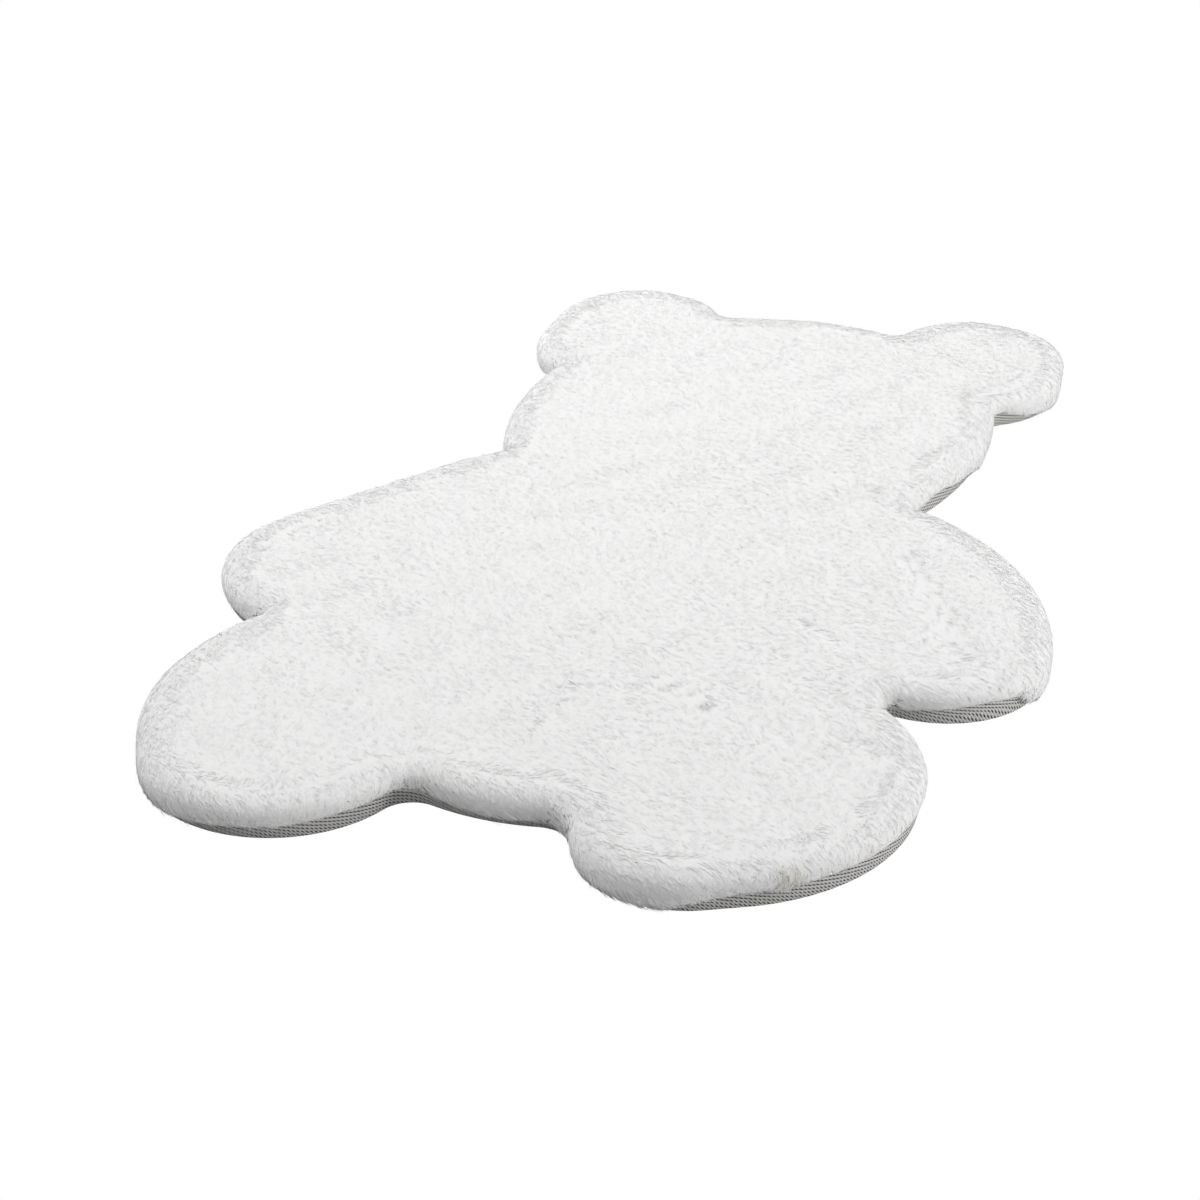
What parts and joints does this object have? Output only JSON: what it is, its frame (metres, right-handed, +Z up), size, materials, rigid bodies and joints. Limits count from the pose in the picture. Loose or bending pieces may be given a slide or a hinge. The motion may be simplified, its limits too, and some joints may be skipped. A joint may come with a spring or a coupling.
{
  "type": "bear shaped plush rug",
  "caption": "Flat bear shaped plush rug with round ears, arms and feet, its cut edge bound in herringbone twill tape.",
  "frame": {"origin": "middle of the rug's outer box in plan, on the surface that the rug lies on", "axes": "+Y along the rug from the feet to the head, its longest extent; +Z up through the pile, its shortest extent; +X to the right as seen from above with the head up"},
  "size_m": [0.6272, 1.004, 0.0277],
  "materials": {
    "plush_pile": "soft white plush pile, brushed one way, matte",
    "twill_tape": "grey-taupe herringbone twill, matte"
  },
  "bodies": {
    "root": {"fur": "plush_pile", "binding_tape": "twill_tape"}
  },
  "joints": []
}
